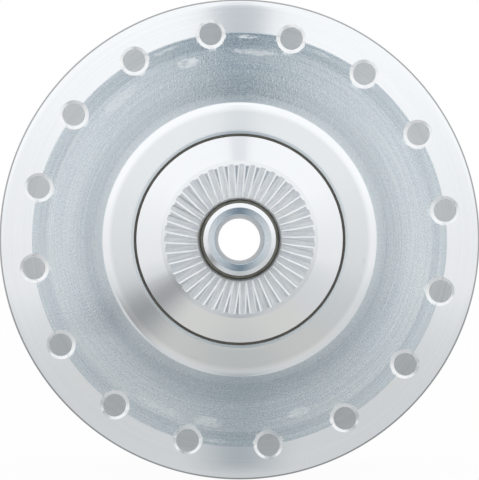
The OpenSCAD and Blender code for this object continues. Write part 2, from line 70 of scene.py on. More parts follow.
# mesh of flat arrays, turned outwards by the sign of its volume
def meshPiece(name, points, quads):
    a, b, c, d = (points[quads[:, k]] for k in range(4))
    volume = np.einsum("ij,ij->", a, np.cross(b, c)) + np.einsum("ij,ij->", a, np.cross(c, d))
    if volume < 0:
        quads = quads[:, ::-1]
    mesh = bpy.data.meshes.new(name)
    mesh.vertices.add(len(points))
    mesh.vertices.foreach_set("co", points.astype(np.float32).ravel())
    mesh.loops.add(quads.size)
    mesh.loops.foreach_set("vertex_index", quads.astype(np.int32).ravel())
    mesh.polygons.add(len(quads))
    mesh.polygons.foreach_set("loop_start", np.arange(0, quads.size, 4, dtype=np.int32))
    mesh.update(calc_edges=True)
    mesh.validate()
    piece = bpy.data.objects.new(name, mesh)
    scene.collection.objects.link(piece)
    return piece


# grid of points closed both ways, rows along the profile and columns round the axle
def ringPiece(name, grid):
    rows, cols = grid.shape[:2]
    i, j = np.meshgrid(np.arange(rows), np.arange(cols), indexing="ij")
    i2, j2 = (i + 1) % rows, (j + 1) % cols
    quads = np.stack([i * cols + j, i * cols + j2, i2 * cols + j2, i2 * cols + j], -1).reshape(-1, 4)
    return meshPiece(name, grid.reshape(-1, 3), quads)


# profile turned round the axle
def turnedPiece(name, path, side, count):
    angle = np.arange(count) * 2 * np.pi / count
    return ringPiece(name, roundAxle(path[:, :1], path[:, 1:], angle[None, :], side))


# six-sided block between two corners, in mm
def blockPiece(name, low, high):
    corner = np.array([[x, y, z] for x in (0, 1) for y in (0, 1) for z in (0, 1)], float)
    points = (np.asarray(low) + corner * (np.asarray(high) - np.asarray(low))) * mm
    quads = np.array([[0, 1, 3, 2], [4, 6, 7, 5], [0, 4, 5, 1], [2, 3, 7, 6], [0, 2, 6, 4], [1, 5, 7, 3]])
    return meshPiece(name, points, quads)


# takes the cutter's solid out of the piece
def cutAway(piece, cutter):
    step = piece.modifiers.new("cut", "BOOLEAN")
    step.operation = "DIFFERENCE"
    step.solver = "EXACT"
    step.object = cutter
    shaped = piece.evaluated_get(bpy.context.evaluated_depsgraph_get())
    cutMesh = bpy.data.meshes.new_from_object(shaped)
    piece.modifiers.clear()
    old = piece.data
    piece.data = cutMesh
    bpy.data.meshes.remove(old)
    bpy.data.objects.remove(cutter)
    cutMesh.name = piece.name


# smooth faces with sharp edges where the surface breaks, on a body in place of a CAD node
def dress(piece, body, node, sharp=24):
    piece.data.shade_smooth()
    piece.data.set_sharp_from_angle(angle=math.radians(sharp))
    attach(piece, body)
    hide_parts(node)
    print(piece.name, len(piece.data.polygons), "faces")


# gives each face the finish that zoneOf picks by its middle (mm) and normal; at holds each finish's index
def paintZones(piece, finishes, zoneOf):
    mesh = piece.data
    mesh.materials.clear()
    for material in finishes.values():
        mesh.materials.append(material)
    at = {name: index for index, name in enumerate(finishes)}
    count = len(mesh.polygons)
    centre = np.empty(count * 3, np.float32)
    normal = np.empty(count * 3, np.float32)
    mesh.polygons.foreach_get("center", centre)
    mesh.polygons.foreach_get("normal", normal)
    zone = zoneOf(centre.reshape(-1, 3) / mm, normal.reshape(-1, 3), at)
    mesh.polygons.foreach_set("material_index", zone.astype(np.int32))
    mesh.update()


# radius, height and tilt of faces, with height and tilt counted outwards along the axle
def facePlace(centre, normal, side):
    sign = 1 if side == "right" else -1
    return np.hypot(centre[:, 0], centre[:, 2]), centre[:, 1] * sign, normal[:, 1] * sign


# helpers for shader nodes

# links or fills inputs of a node
def feed(tree, node, inputs):
    for key, value in inputs.items():
        if isinstance(value, bpy.types.NodeSocket):
            tree.links.new(value, node.inputs[key])
        else:
            node.inputs[key].default_value = value


# adds a node with its options and inputs
def put(tree, kind, inputs=None, **options):
    node = tree.nodes.new("ShaderNode" + kind)
    for key, value in options.items():
        setattr(node, key, value)
    feed(tree, node, inputs or {})
    return node


# one step of maths on numbers
def sums(tree, operation, a, b=0.0, c=None):
    inputs = {0: a, 1: b}
    if c is not None:
        inputs[2] = c
    return put(tree, "Math", inputs, operation=operation).outputs[0]


def times(tree, a, b):
    return sums(tree, "MULTIPLY", a, b)


# one step of maths on vectors; a length or a dot product comes back as a number
def vectors(tree, operation, a, b=None):
    inputs = {0: a} if b is None else {0: a, 1: b}
    node = put(tree, "VectorMath", inputs, operation=operation)
    return node.outputs["Value" if operation in ("LENGTH", "DOT_PRODUCT") else "Vector"]


# value moved from one range to another, held at the ends
def span(tree, value, low, high, toLow, toHigh, kind="SMOOTHSTEP"):
    node = put(tree, "MapRange", {"Value": value, "From Min": low, "From Max": high,
                                  "To Min": toLow, "To Max": toHigh}, interpolation_type=kind)
    return node.outputs[0]


# mix of two colours by an amount
def blendColour(tree, amount, first, second, mode="MIX"):
    node = put(tree, "Mix", {0: amount}, data_type="RGBA", blend_type=mode)
    for key, colour in ((6, first), (7, second)):
        feed(tree, node, {key: (*colour, 1) if isinstance(colour, tuple) else colour})
    return node.outputs[2]


def noise(tree, vector, scale, detail=2.0, rough=0.5):
    inputs = {"Vector": vector, "Scale": scale, "Detail": detail, "Roughness": rough}
    return put(tree, "TexNoise", inputs).outputs[0]


# tone from two noises, by the share of the second, spread from nought to one
def noiseTone(tree, first, second, share, toneSpan):
    tone = sums(tree, "MULTIPLY_ADD", second, share, times(tree, first, 1 - share))
    return span(tree, tone, *toneSpan, 0.0, 1.0, "LINEAR")


def newMaterial(name):
    material = bpy.data.materials.new(name)
    material.use_nodes = True
    tree = material.node_tree
    return material, tree, tree.nodes["Principled BSDF"]


# place, radius from the axle, unit vector outwards, and radius less height as the distance along a profile
def axlePlace(tree):
    place = put(tree, "TexCoord").outputs["Object"]
    flat = vectors(tree, "MULTIPLY", place, (1, 0, 1))
    radius = vectors(tree, "LENGTH", flat)
    outward = vectors(tree, "NORMALIZE", flat)
    y = put(tree, "SeparateXYZ", {0: place}).outputs["Y"]
    along = sums(tree, "SUBTRACT", radius, sums(tree, "ABSOLUTE", y))
    return place, radius, outward, along


# noise in rings round the axle: fine along the profile, slow round the circle
def ringNoise(tree, outward, along, period, slow, detail=2.0, rough=0.6):
    rise = put(tree, "CombineXYZ", {"Y": times(tree, along, 1 / (period * mm))}).outputs[0]
    turn = vectors(tree, "MULTIPLY", outward, (slow, slow, slow))
    return noise(tree, vectors(tree, "ADD", rise, turn), 1.0, detail, rough)


# scuff on the left flange, by angle in degrees, radius, half length and half width in mm, and amount: it is
# where the squares of length and width over their halves, with noise for a ragged edge, add up to little, and
# streaks that run round the axle break it up
scuff = {"streakLong": 1.0, "streakWide": 0.17, "detail": 4.0, "rough": 0.75, "ragged": 2.4, "full": 0.2,
         "gone": 0.95, "thin": 0.42, "thick": 0.56, "least": 0.05}


def scuffMask(tree, place, mark):
    angle, radius, halfLong, halfWide, amount = mark
    c, s = math.cos(math.radians(angle)), math.sin(math.radians(angle))
    along = vectors(tree, "DOT_PRODUCT", place, (-s, 0, c))
    across = sums(tree, "SUBTRACT", vectors(tree, "DOT_PRODUCT", place, (c, 0, s)), radius * mm)
    streak = put(tree, "CombineXYZ", {"X": times(tree, along, 1 / (scuff["streakLong"] * mm)),
                                      "Y": times(tree, across, 1 / (scuff["streakWide"] * mm)),
                                      "Z": float(angle)}).outputs[0]
    wear = noise(tree, streak, 1.0, scuff["detail"], scuff["rough"])
    off = sums(tree, "MULTIPLY_ADD", wear, -scuff["ragged"], scuff["ragged"] / 2)
    for way, half in ((along, halfLong), (across, halfWide)):
        share = times(tree, way, 1 / (half * mm))
        off = sums(tree, "MULTIPLY_ADD", share, share, off)
    spot = span(tree, off, scuff["full"], scuff["gone"], amount, 0.0)
    broken = span(tree, wear, scuff["thin"], scuff["thick"], scuff["least"], 1.0)
    onLeft = sums(tree, "LESS_THAN", put(tree, "SeparateXYZ", {0: place}).outputs["Y"], 0.0)
    return times(tree, times(tree, spot, broken), onLeft)


# turned or polished metal: ring lines and specks in colour and bump, with the gloss drawn out across the
# lines; the settings are those that all finishes share
turned = {"broadLine": 8, "broadTurns": 1.2, "broadShare": 0.2, "pebbleSpan": (0.3, 0.7), "smearEdge": 0.14,
          "scratchTurns": 9.0, "scratchSpan": (0.4, 0.62), "scratchLeast": 0.15, "bumpDeep": 0.01}


def turnedMetal(name, look):
    material, tree, shader = newMaterial(name)
    place, radius, outward, along = axlePlace(tree)
    fine = ringNoise(tree, outward, along, look["line"], look["lineTurns"])
    broad = ringNoise(tree, outward, along, look["line"] * turned["broadLine"], turned["broadTurns"],
                      detail=3.0)
    speck = ringNoise(tree, outward, along, look["speck"], look["speckTurns"], rough=0.7)
    tone = times(tree, speck, look["speckShare"])
    tone = sums(tree, "MULTIPLY_ADD", fine, 1 - turned["broadShare"] - look["speckShare"], tone)
    tone = sums(tree, "MULTIPLY_ADD", broad, turned["broadShare"], tone)
    tone = span(tree, tone, 0.5 - look["spread"], 0.5 + look["spread"], 0.0, 1.0, "LINEAR")
    colour = blendColour(tree, tone, look["dark"], look["light"])
    rough = sums(tree, "MULTIPLY_ADD", sums(tree, "SUBTRACT", speck, 0.5), look["roughSpread"], look["rough"])
    if "pebble" in look:
        pebbles = noise(tree, place, 1 / (look["pebbleSize"] * mm), detail=1.0)
        least, most = turned["pebbleSpan"]
        swing = span(tree, pebbles, least, most, -look["pebbleRough"], look["pebbleRough"], "LINEAR")
        rough = sums(tree, "ADD", rough, swing)
    # fades darken the colour inside a radius; on the turned face this is painted shade next to the boss wall
    for fade in look.get("fades", []):
        share = span(tree, radius, fade["fromR"] * mm, fade["toR"] * mm, 1.0, 0.0)
        colour = blendColour(tree, share, colour, fade["colour"], "MULTIPLY")
    for smear in look.get("smears", []):
        patch = ringNoise(tree, outward, along, smear["period"], smear["turns"], detail=4.0, rough=0.7)
        patch = span(tree, patch, smear["least"], smear["least"] + turned["smearEdge"], 0.0, 1.0)
        scratch = ringNoise(tree, outward, along, smear["scratch"], turned["scratchTurns"])
        scratch = span(tree, scratch, *turned["scratchSpan"], turned["scratchLeast"], 1.0)
        mask = times(tree, patch, scratch)
        if "fromR" in smear:
            inside = span(tree, radius, smear["fromR"] * mm, smear["toR"] * mm, 0.0, 1.0)
            mask = times(tree, mask, inside)
        colour = blendColour(tree, times(tree, mask, smear["amount"]), colour, smear["colour"])
        rough = sums(tree, "MULTIPLY_ADD", mask, smear["rougher"], rough)
    metal = look.get("metal", 1.0)
    if look.get("marks"):
        scuffs = 0.0
        for mark in look["marks"]:
            scuffs = sums(tree, "MAXIMUM", scuffMask(tree, place, mark), scuffs)
        colour = blendColour(tree, scuffs, colour, look["markColour"])
        rough = sums(tree, "MULTIPLY_ADD", scuffs, look["markRough"], rough)
        metal = sums(tree, "MULTIPLY_ADD", scuffs, -look["markMatt"], metal)
    height = sums(tree, "MULTIPLY_ADD", speck, look["speckShare"], fine)
    if "pebble" in look:
        height = sums(tree, "MULTIPLY_ADD", pebbles, look["pebble"], height)
    bump = put(tree, "Bump", {"Strength": look["bump"], "Distance": turned["bumpDeep"] * mm,
                              "Height": height})
    feed(tree, shader, {"Base Color": colour, "Roughness": rough, "Metallic": metal,
                        "Specular IOR Level": look.get("sheen", 0.5), "Anisotropic": look["stretch"],
                        "Normal": bump.outputs[0]})
    if look["stretch"]:
        turn = put(tree, "VectorTransform", {0: outward}, vector_type="VECTOR",
                   convert_from="OBJECT", convert_to="WORLD")
        feed(tree, shader, {"Tangent": turn.outputs[0]})
    return material


# finishes of the aluminium, one dictionary each, and those of the shell by zone
polishLook = {"dark": (0.915, 0.925, 0.94), "light": (0.94, 0.95, 0.963), "line": 0.12, "lineTurns": 0.8,
              "speck": 0.2, "speckTurns": 40, "speckShare": 0.3, "spread": 0.18, "rough": 0.15,
              "roughSpread": 0.04, "bump": 0.03, "stretch": 0.3}
bossLook = {**polishLook, "dark": (0.95, 0.96, 0.97), "light": (0.975, 0.983, 0.99), "line": 0.14,
            "rough": 0.22, "bump": 0.04, "stretch": 0.2,
            "fades": [{"fromR": 15.85, "toR": 16.6, "colour": (0.842, 0.855, 0.86)}],
            "smears": [{"period": 1.4, "turns": 2.2, "scratch": 0.4, "least": 0.60, "amount": 0.35,
                        "rougher": 0.05, "colour": (0.66, 0.68, 0.69)}]}
wallLook = {**bossLook, "rough": 0.16, "stretch": 0.0, "fades": [], "smears": []}
# turned face: its fade is painted shade, darker towards the boss wall
dishLook = {"dark": (0.80, 0.86, 0.90), "light": (0.95, 1.0, 1.0), "line": 0.15, "lineTurns": 1.2,
            "speck": 0.2, "speckTurns": 80, "speckShare": 0.12, "spread": 0.13, "rough": 0.27,
            "roughSpread": 0.01, "bump": 0.8, "pebble": 1.6, "pebbleSize": 0.22, "pebbleRough": 0.005,
            "stretch": 1.0, "fades": [{"fromR": 19.2, "toR": 22.8, "colour": (0.86, 0.865, 0.87)}],
            "smears": [{"period": 1.6, "turns": 3.0, "scratch": 0.16, "least": 0.47, "amount": 0.4,
                        "fromR": 22.6, "toR": 24.4, "rougher": 0.06, "colour": (0.97, 0.98, 0.985)}],
            "marks": [(85, 24.3, 3.4, 0.4, 0.7), (106, 23.8, 1.8, 0.75, 0.95), (131, 23.8, 3.4, 0.85, 0.6),
                      (260, 24.0, 2.0, 0.75, 1.0), (245, 24.1, 4.0, 0.65, 0.6),
                      (289, 23.7, 1.8, 0.7, 0.95)],
            "markColour": (0.95, 0.98, 1.0), "markRough": 0.05, "markMatt": 0.9}
plainDish = {**dishLook, "smears": [], "fades": [], "marks": []}
mouthLook = {**plainDish, "dark": (0.80, 0.85, 0.865), "light": (0.905, 0.955, 0.97), "rough": 0.34,
             "pebble": 0.6}
bandLook = {**dishLook, "dark": (0.765, 0.825, 0.855), "light": (0.90, 0.965, 0.985), "line": 0.2,
            "fades": [{"fromR": 25.7, "toR": 26.3, "colour": (0.94, 0.94, 0.945)}],
            "smears": [{"period": 1.1, "turns": 2.6, "scratch": 0.18, "least": 0.5, "amount": 0.5,
                        "rougher": 0.1, "colour": (0.95, 0.965, 0.975)}],
            "marks": [(88, 26.3, 1.4, 0.28, 1.0), (112, 26.2, 2.2, 0.25, 0.6), (66, 26.3, 1.6, 0.25, 0.5),
                      (263, 26.3, 1.6, 0.28, 0.6)]}
ringLook = {**polishLook, "dark": (0.905, 0.918, 0.93), "light": (0.965, 0.975, 0.985), "line": 0.14,
            "rough": 0.14, "bump": 0.06, "pebble": 1.0, "pebbleSize": 0.3, "pebbleRough": 0.0}
# rim finish: painted shade, the outermost band of the flange edge painted dark where the rounded edge turns
# away from the light
rimShadeLook = {**ringLook, "dark": (0.31, 0.32, 0.325), "light": (0.46, 0.465, 0.47), "rough": 0.3}
bevelLook = {**polishLook, "dark": (0.915, 0.923, 0.928), "light": (0.965, 0.97, 0.975), "line": 0.3,
             "lineTurns": 2.0, "speck": 0.15, "speckTurns": 60, "rough": 0.28, "roughSpread": 0.08,
             "stretch": 0.0}
barrelLook = {**polishLook, "dark": (0.70, 0.72, 0.74), "light": (0.82, 0.835, 0.85), "line": 0.22,
              "rough": 0.34, "roughSpread": 0.08, "bump": 0.08, "stretch": 0.0}
backLook = {**plainDish, "pebble": 0.2, "dark": (0.70, 0.716, 0.72), "light": (0.80, 0.815, 0.82),
            "rough": 0.3, "stretch": 0.97}
insideLook = {**barrelLook, "dark": (0.62, 0.63, 0.64), "light": (0.74, 0.75, 0.755), "line": 0.3,
              "rough": 0.42, "bump": 0.12}
shellFinishes = {"nose": turnedMetal("polishedBoss", bossLook), "land": turnedMetal("mouthLand", mouthLook),
                 "face": turnedMetal("turnedFace", dishLook), "band": turnedMetal("turnedBand", bandLook),
                 "ring": turnedMetal("smoothRing", ringLook), "rim": turnedMetal("rimEdgePaintedShade", rimShadeLook),
                 "back": turnedMetal("flangeBack", backLook),
                 "barrel": turnedMetal("satinBarrel", barrelLook),
                 "inside": turnedMetal("boredInside", insideLook),
                 "flare": turnedMetal("holeBevel", bevelLook), "wall": turnedMetal("polishedWall", wallLook)}
print("shell finishes made:", len(shellFinishes))


# shell: two drilled flanges, each with a turned face and a boss; the left one is a cover with a spigot
shell = {"mouthR": 13.25, "edgeR": 13.6, "landLift": 0.05, "noseSlope": 18.0, "noseRound": 1.2,
         "bossR": 17.25, "draft": 5.0, "footRound": 0.5, "footWall": 2.2, "faceFall": 4.0,
         "noseH": {"left": 48.1, "right": 42.5}, "bearingTop": {"left": 45.0, "right": 39.4},
         "bearingR": 14.0, "bearingLong": 8.0, "bandR": 25.0, "ringR": 26.75, "bandStep": 0.15,
         "bandFall": 2.5, "faceH": 28.6, "backH": 25.4, "flangeR": 31.2, "rimRound": 1.05, "backRound": 0.3,
         "ringSlope": 12.0, "rootRound": 2.0, "barrelR": 23.0, "jointH": 22.5, "jointBevel": 0.15,
         "rotorR": 20.792, "spigotR": 18.814, "yokeH": 14.0, "slip": 0.02, "grooveR": 19.752,
         "grooveLow": 17.65, "grooveHigh": 18.85, "shadedEdgeBand": 0.205, "seatShoulder": 0.5, "barrelTop": 23.0,
         "barrelRows": 24, "around": 384}
frontRows = {"mouth": 3, "land": 2, "cone": 6, "nose": 14, "wall": 10, "face": 12, "band": 5, "step": 1,
             "ring": 9, "rim": 14, "under": 6, "back": 12, "root": 10}
spokes = {"count": 16, "circleR": 27.0, "holeR": 1.45, "backBevel": 0.35, "footGrow": 0.05,
          "footShift": -0.1, "sinkWide": 0.40, "sinkDeep": 0.23, "sinkShift": -0.16, "sinkSoft": 0.7,
          "firstAngle": 8.0, "clear": 1.0, "around": 64}


# middle of the nose rounding, and the point that is foot away from both the boss wall and the turned face
def bossPoints(side, foot):
    s = shell
    slope, draft, fall = (math.radians(s[k]) for k in ("noseSlope", "draft", "faceFall"))
    noseR = s["bossR"] - s["noseRound"]
    noseH = s["noseH"][side] - (s["noseRound"] + (noseR - s["edgeR"]) * math.sin(slope)) / math.cos(slope)
    wallR = noseR + s["noseRound"] * math.cos(draft)
    wallH = noseH + s["noseRound"] * math.sin(draft)
    bandH = s["faceH"] - s["bandStep"]
    a = foot + math.cos(draft) * wallR + math.sin(draft) * wallH
    b = foot + math.sin(fall) * s["bandR"] + math.cos(fall) * bandH
    footR = (a * math.cos(fall) - b * math.sin(draft)) / math.cos(draft + fall)
    footH = (b * math.cos(draft) - a * math.sin(fall)) / math.cos(draft + fall)
    return noseR, noseH, footR, footH


# front of one side, from the mouth over the nose, boss, turned face, band and ring to the root
def shellFront(side):
    s, n = shell, frontRows
    lean = math.radians(s["ringSlope"])
    topH, bandH = s["noseH"][side], s["faceH"] - s["bandStep"]
    lowH = bandH - (s["ringR"] - s["bandR"]) * math.tan(math.radians(s["bandFall"]))
    noseR, noseH, footR, footH = bossPoints(side, 0)
    stepR, rimR = s["ringR"] + s["bandStep"], s["flangeR"] - s["rimRound"]
    rimH = s["faceH"] - (s["rimRound"] + (rimR - stepR) * math.sin(lean)) / math.cos(lean)
    nose = arcRun(noseR, noseH, s["noseRound"], 90 - s["noseSlope"], s["draft"], n["nose"])
    rim = arcRun(rimR, rimH, s["rimRound"], 90 - s["ringSlope"], 0, n["rim"])
    underR, underH = s["flangeR"] - s["backRound"], s["backH"] + s["backRound"]
    under = arcRun(underR, underH, s["backRound"], 0, -90, n["under"])
    rootR, rootH = s["barrelR"] + s["rootRound"], s["backH"] - s["rootRound"]
    root = arcRun(rootR, rootH, s["rootRound"], 90, 180, n["root"])
    mouthTop, edge, foot = (s["mouthR"], topH + s["landLift"]), (s["edgeR"], topH), (footR, footH)
    bandIn, bandOut, step = (s["bandR"], bandH), (s["ringR"], lowH), (stepR, s["faceH"])
    return np.concatenate([
        lineRun((s["mouthR"], s["bearingTop"][side]), mouthTop, n["mouth"]),
        lineRun(mouthTop, edge, n["land"]), lineRun(edge, nose[0], n["cone"]), nose,
        lineRun(nose[-1], foot, n["wall"]), lineRun(foot, bandIn, n["face"]),
        lineRun(bandIn, bandOut, n["band"]), lineRun(bandOut, step, n["step"]),
        lineRun(step, rim[0], n["ring"]), rim, under, lineRun(under[-1], root[0], n["back"]), root])


# middles of the spoke holes of one side, as angles
def spokeAngles(side):
    shift = 0.5 if side == "right" else 0.0
    return np.radians(spokes["firstAngle"] + (np.arange(spokes["count"]) + shift) * 360 / spokes["count"])


# height of the front at a radius near the spoke holes: face, band, step and ring; soft widens the step
def frontHeight(r, soft):
    s = shell
    bandH, fall = s["faceH"] - s["bandStep"], math.tan(math.radians(s["bandFall"]))
    face = bandH + (s["bandR"] - r) * math.tan(math.radians(s["faceFall"]))
    ring = s["faceH"] - (r - s["ringR"] - s["bandStep"]) * math.tan(math.radians(s["ringSlope"]))
    band = bandH - (np.clip(r, s["bandR"], s["ringR"]) - s["bandR"]) * fall
    share = np.clip((r - s["ringR"] + soft) / (2 * soft + s["bandStep"]), 0, 1)
    return np.where(r < s["bandR"], face, band * (1 - share) + ring * share)


# one pin for each spoke hole: a cone at the back, and a flare at the front whose edge follows the surface;
# foot and edge of the flare are circles set a little towards the axle, and the foot crosses the step softly
def spokeCutter(side):
    s, n = spokes, spokes["around"]
    turn = np.arange(n) * 2 * np.pi / n
    foot = s["holeR"] + s["footGrow"]
    edge = foot + s["sinkWide"]
    edgeR = np.hypot(s["circleR"] + s["sinkShift"] + edge * np.cos(turn), edge * np.sin(turn))
    edgeH = frontHeight(edgeR, 0.0)
    footH = frontHeight(edgeR, s["sinkSoft"]) - s["sinkDeep"]
    past, pastShift = 2 * edge - foot, 2 * s["sinkShift"] - s["footShift"]
    radius = np.array([s["holeR"] + s["backBevel"] + s["clear"], s["holeR"], foot, past, past])
    middle = s["circleR"] + np.array([0, 0, s["footShift"], pastShift, pastShift])
    height = np.stack([np.full(n, shell["backH"] - s["clear"]), np.full(n, shell["backH"] + s["backBevel"]),
                       footH, 2 * edgeH - footH, np.full(n, shell["faceH"] + s["clear"])])
    a = spokeAngles(side)[:, None, None]
    out = middle[None, :, None] + radius[None, :, None] * np.cos(turn)
    across = radius[None, :, None] * np.sin(turn)
    y = height if side == "right" else -height
    points = np.stack(np.broadcast_arrays(out * np.cos(a) - across * np.sin(a), y[None],
                                          out * np.sin(a) + across * np.cos(a)), -1).reshape(-1, 3) * mm
    k, rings = np.arange(n), len(radius)
    band = np.stack([k, (k + 1) % n, n + (k + 1) % n, n + k], 1)
    quads = np.concatenate([i * n + band for i in range(rings - 1)])
    faces = []
    for hole in range(s["count"]):
        base = hole * rings * n
        faces += (quads + base).tolist()
        last = base + (rings - 1) * n
        faces += [list(range(base + n - 1, base - 1, -1)), list(range(last, last + n))]
    mesh = bpy.data.meshes.new("spokeCutter")
    mesh.from_pydata(points.tolist(), [], faces if side == "left" else [face[::-1] for face in faces])
    mesh.update()
    cutter = bpy.data.objects.new("spokeCutter", mesh)
    scene.collection.objects.link(cutter)
    return cutter


# margins that part the zones of the shell: the first four are tilts, as shares of a normal, the others are mm
shellEdges = {"level": 0.9, "down": 0.5, "tilted": 0.1, "flat": 0.02, "barrelIn": 0.2, "backIn": 0.1,
              "frontIn": 0.2, "bossIn": 0.3, "ringUp": 0.5, "rimUp": 0.02, "flareOut": 0.02, "hair": 0.01}


# zone of each shell face, by radius, height and tilt; a later line wins over an earlier one
def shellZones(side):
    def zoneOf(centre, normal, at):
        s, e = shell, shellEdges
        r, h, up = facePlace(centre, normal, side)
        out = (normal[:, 0] * centre[:, 0] + normal[:, 2] * centre[:, 2]) / np.maximum(r, 1e-6)
        angle = np.arctan2(centre[:, 2], centre[:, 0])
        pitch = 2 * np.pi / spokes["count"]
        away = (angle - spokeAngles(side)[0] + pitch / 2) % pitch - pitch / 2
        fromHole = np.hypot(r * np.cos(away) - spokes["circleR"] - spokes["sinkShift"], r * np.sin(away))
        flareR = spokes["holeR"] + spokes["footGrow"] + spokes["sinkWide"] + e["flareOut"]
        _, noseH, _, footH = bossPoints(side, 0)
        front = (h > s["faceH"] - s["bandStep"] - e["frontIn"]) & (up > -e["flat"]) & (out > -e["flat"])
        zone = np.full(len(r), at["inside"])
        zone[(out > e["flat"]) & (r > s["barrelR"] - e["barrelIn"])] = at["barrel"]
        zone[(up < -e["down"]) & (r > s["barrelR"] + e["backIn"])] = at["back"]
        zone[front & (r > s["bossR"] - e["bossIn"])] = at["wall"]
        zone[(r > s["edgeR"]) & (r < s["bossR"]) & (h > noseH)] = at["nose"]
        zone[(r > s["mouthR"]) & (r < s["edgeR"]) & (h > s["noseH"][side] - e["hair"])] = at["land"]
        zone[front & (h < footH) & (r < s["bandR"]) & (up > e["tilted"])] = at["face"]
        zone[(r > s["bandR"]) & (r < s["ringR"]) & (up > e["level"])] = at["band"]
        zone[(r > s["ringR"]) & (h > s["backH"] + e["ringUp"]) & (up > e["tilted"])] = at["ring"]
        # painted shade: the outermost band of the flange edge takes the dark rim finish
        zone[(r > s["flangeR"] - s["shadedEdgeBand"]) & (h > s["backH"] + e["rimUp"])] = at["rim"]
        zone[(fromHole < flareR) & (h > s["backH"] - e["hair"])] = at["flare"]
        return zone
    return zoneOf


# one side: its front, then the joint or the barrel, and back through the bored inside
def makeShellSide(side):
    s = shell
    seatH = s["bearingTop"][side]
    _, _, footR, footH = bossPoints(side, s["footRound"])
    coneH = min(seatH - s["bearingLong"] - s["seatShoulder"],
                footR + footH - (s["footRound"] + s["footWall"]) * math.sqrt(2) - s["bearingR"])
    bored = [(s["spigotR"], s["yokeH"]), (s["spigotR"], coneH - s["spigotR"] + s["bearingR"]),
             (s["bearingR"], coneH), (s["bearingR"], seatH)]
    if side == "left":
        name, node = "shellCoverTurned", "shell_cover"
        spigotR = s["rotorR"] - s["slip"]
        joint = [(s["barrelR"], s["jointH"] + s["jointBevel"]), (s["barrelR"] - s["jointBevel"], s["jointH"]),
                 (spigotR, s["jointH"]), (spigotR, s["grooveHigh"]), (s["grooveR"], s["grooveHigh"]),
                 (s["grooveR"], s["grooveLow"]), (spigotR, s["grooveLow"]), (spigotR, s["yokeH"])]
    else:
        name, node = "hubShellTurned", "hub_shell"
        low = (s["barrelR"], s["jointBevel"] - s["jointH"])
        joint = [*lineRun((s["barrelR"], s["barrelTop"]), low, s["barrelRows"]),
                 (s["barrelR"] - s["jointBevel"], -s["jointH"]), (s["rotorR"], -s["jointH"]),
                 (s["rotorR"], s["yokeH"])]
    piece = turnedPiece(name, closedLoop(shellFront(side), joint, bored), side, s["around"])
    cutAway(piece, spokeCutter(side))
    paintZones(piece, shellFinishes, shellZones(side))
    dress(piece, "hub", node)


for side in ("left", "right"):
    makeShellSide(side)


# end caps: a grooved clamp face, a bevel and a polished cone
cap = {"stemR": 5.0, "faceH": 50.0, "clampR": 9.25, "bevel": 0.6, "slope": 18.0, "rimR": 12.9,
       "hubR": 8.272, "back": {"left": 47.6, "right": 42.0}, "seat": {"left": 45.0, "right": 39.4},
       "lip": 0.2, "grooves": 43, "grooveHalf": 0.28, "grooveDeep": 0.16, "grooveFlank": 0.2,
       "grooveSet": 0.5, "grooveTurn": 1.25, "grooveFrom": 5.35, "grooveEnd": 0.03, "ridgeHalf": 0.0006,
       "window": (15.0, 9.0, 42.9, 4.2), "slotWide": 2.45, "slotEnd": 45.7, "clear": 1.0,
       "rows": (8, 4, 3, 20), "level": 0.95, "steep": 0.3, "hair": 0.01, "sharp": 20}


# the columns of the grid run along the grooves: with x the distance from a groove's middle line, the surface
# sinks to the groove floor and climbs along the flank, which adjoining grooves cut short towards the axle
def capGrid(side):
    c = cap
    face, clampR, deep, hair = c["faceH"], c["clampR"], c["grooveDeep"], c["hair"]
    seatH, backH = c["seat"][side], c["back"][side]
    coneR, coneH = clampR + c["bevel"], face - c["bevel"]
    rimH = coneH - (c["rimR"] - coneR) * math.tan(math.radians(c["slope"]))
    coneRows, bevelRows, edgeRows, faceRows = c["rows"]
    path = closedLoop(
        [(c["stemR"], seatH), (c["hubR"], seatH), (c["hubR"], backH), (c["rimR"], backH)],
        lineRun((c["rimR"], rimH), (coneR, coneH), coneRows),
        lineRun((coneR, coneH), (clampR + deep, face - deep), bevelRows),
        lineRun((clampR + deep, face - deep), (clampR, face), edgeRows),
        lineRun((clampR, face), (c["grooveFrom"] + c["grooveEnd"], face), faceRows),
        [(c["grooveFrom"], face), (c["stemR"] + c["lip"], face), (c["stemR"], face - c["lip"])])
    r, h = path[:, :1], path[:, 1:]
    pitch = 2 * np.pi / c["grooves"]
    lean = np.arcsin(c["grooveSet"] / np.clip(r, c["stemR"], coneR))
    onFace = (r > c["grooveFrom"] + hair) & (r < coneR + hair) & (h > coneH - hair)
    depth = np.where(onFace, np.maximum(h - face + deep, 0), 0)
    rise = deep / c["grooveFlank"]
    half = np.full_like(r, c["grooveHalf"])
    wide = half + np.maximum(depth / rise, hair)
    x = np.concatenate([-wide, -half, -half / 3, half / 3, half, wide], 1)
    turn = np.arcsin(np.clip((c["grooveSet"] + x) / r, -1, 1)) - lean
    turn = np.clip(turn, c["ridgeHalf"] - pitch / 2, pitch / 2 - c["ridgeHalf"])
    turn = np.concatenate([np.full_like(r, -pitch / 2), turn], 1)
    x = r * np.sin(lean + turn) - c["grooveSet"]
    sink = np.clip(depth - np.maximum(np.abs(x) - c["grooveHalf"], 0) * rise, 0, None)
    first = np.radians(c["grooveTurn"]) + np.arange(c["grooves"]) * pitch
    angle = (lean[:, :, None] + first[None, :, None] + turn[:, None, :]).reshape(len(r), -1)
    height = h - np.tile(sink, (1, c["grooves"]))
    return roundAxle(r, height, angle, side)


